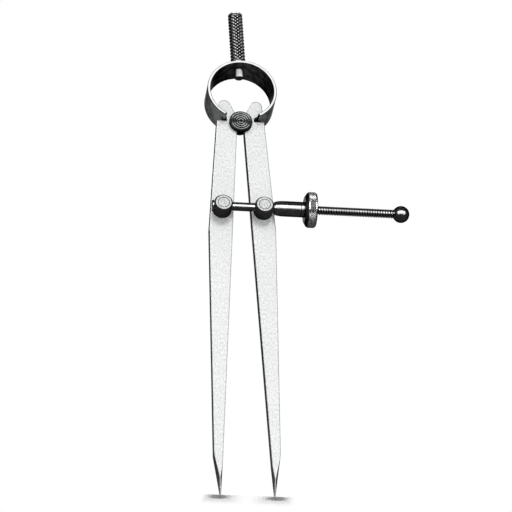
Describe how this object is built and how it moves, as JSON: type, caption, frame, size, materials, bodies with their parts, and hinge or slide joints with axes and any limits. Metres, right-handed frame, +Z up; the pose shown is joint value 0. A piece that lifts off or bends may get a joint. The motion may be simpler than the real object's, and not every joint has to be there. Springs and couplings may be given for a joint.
{
  "type": "spring divider",
  "caption": "Spring divider with two straight pointed legs on a spool fulcrum, a bow spring with a knurled finger grip, and a screw with a knurled nut that sets the points apart.",
  "frame": {"origin": "on the grip's axis, half way up the grip", "axes": "+X to the right along the adjusting screw, +Y from the front to the back, +Z up along the line half way between the legs"},
  "size_m": [0.0967, 0.0225, 0.2642],
  "materials": {
    "leg_steel": "fine ground, satin, nickel bright",
    "spring_steel": "dark polished strip with bright edges",
    "dark_turned": "dark turned steel, glossy",
    "dark_knurled": "dark knurled steel",
    "bright_steel": "turned bright steel",
    "thread_steel": "rolled thread, dull grey steel"
  },
  "bodies": {
    "head": {"handle": "dark_knurled", "handle_stud": "dark_turned", "bow_spring": "spring_steel", "fulcrum_spool": "dark_turned"},
    "right_leg": {"right_leg": "leg_steel"},
    "left_leg": {"left_leg": "leg_steel"},
    "right_post": {"right_post": "bright_steel", "right_post_washer": "bright_steel", "thrust_sleeve": "dark_turned"},
    "left_post": {"left_post": "bright_steel", "left_post_washer": "bright_steel", "adjusting_screw": "thread_steel", "stop_ball": "dark_turned"},
    "nut": {"adjusting_nut": "dark_knurled"}
  },
  "joints": [
    {"name": "right_leg_swing", "type": "hinge", "parent": "head", "child": "right_leg", "pos_m": [0.00075, 0, -0.04879], "axis": [0, -1, 0], "range_deg": [-3.4, 22.6], "deforming": ["bow_spring"]},
    {"name": "left_leg_swing", "type": "hinge", "parent": "head", "child": "left_leg", "pos_m": [0.00075, 0, -0.04879], "axis": [0, 1, 0], "range_deg": [-3.4, 22.6], "deforming": ["bow_spring"]},
    {"name": "right_post_swivel", "type": "hinge", "parent": "right_leg", "child": "right_post", "pos_m": [0.01061, -0.0065, -0.09854], "axis": [0, 1, 0], "range_deg": [-3.4, 22.6]},
    {"name": "left_post_swivel", "type": "hinge", "parent": "left_leg", "child": "left_post", "pos_m": [-0.00911, -0.0065, -0.09854], "axis": [0, -1, 0], "range_deg": [-3.4, 22.6]},
    {"name": "nut_turn", "type": "hinge", "parent": "right_post", "child": "nut", "pos_m": [0.03186, -0.0065, -0.09854], "axis": [1, 0, 0], "continuous": true}
  ],
  "couplings": [
    {"joint": "left_leg_swing", "follows": "right_leg_swing", "ratio": 1},
    {"joint": "right_post_swivel", "follows": "right_leg_swing", "ratio": 1},
    {"joint": "left_post_swivel", "follows": "right_leg_swing", "ratio": 1}
  ]
}
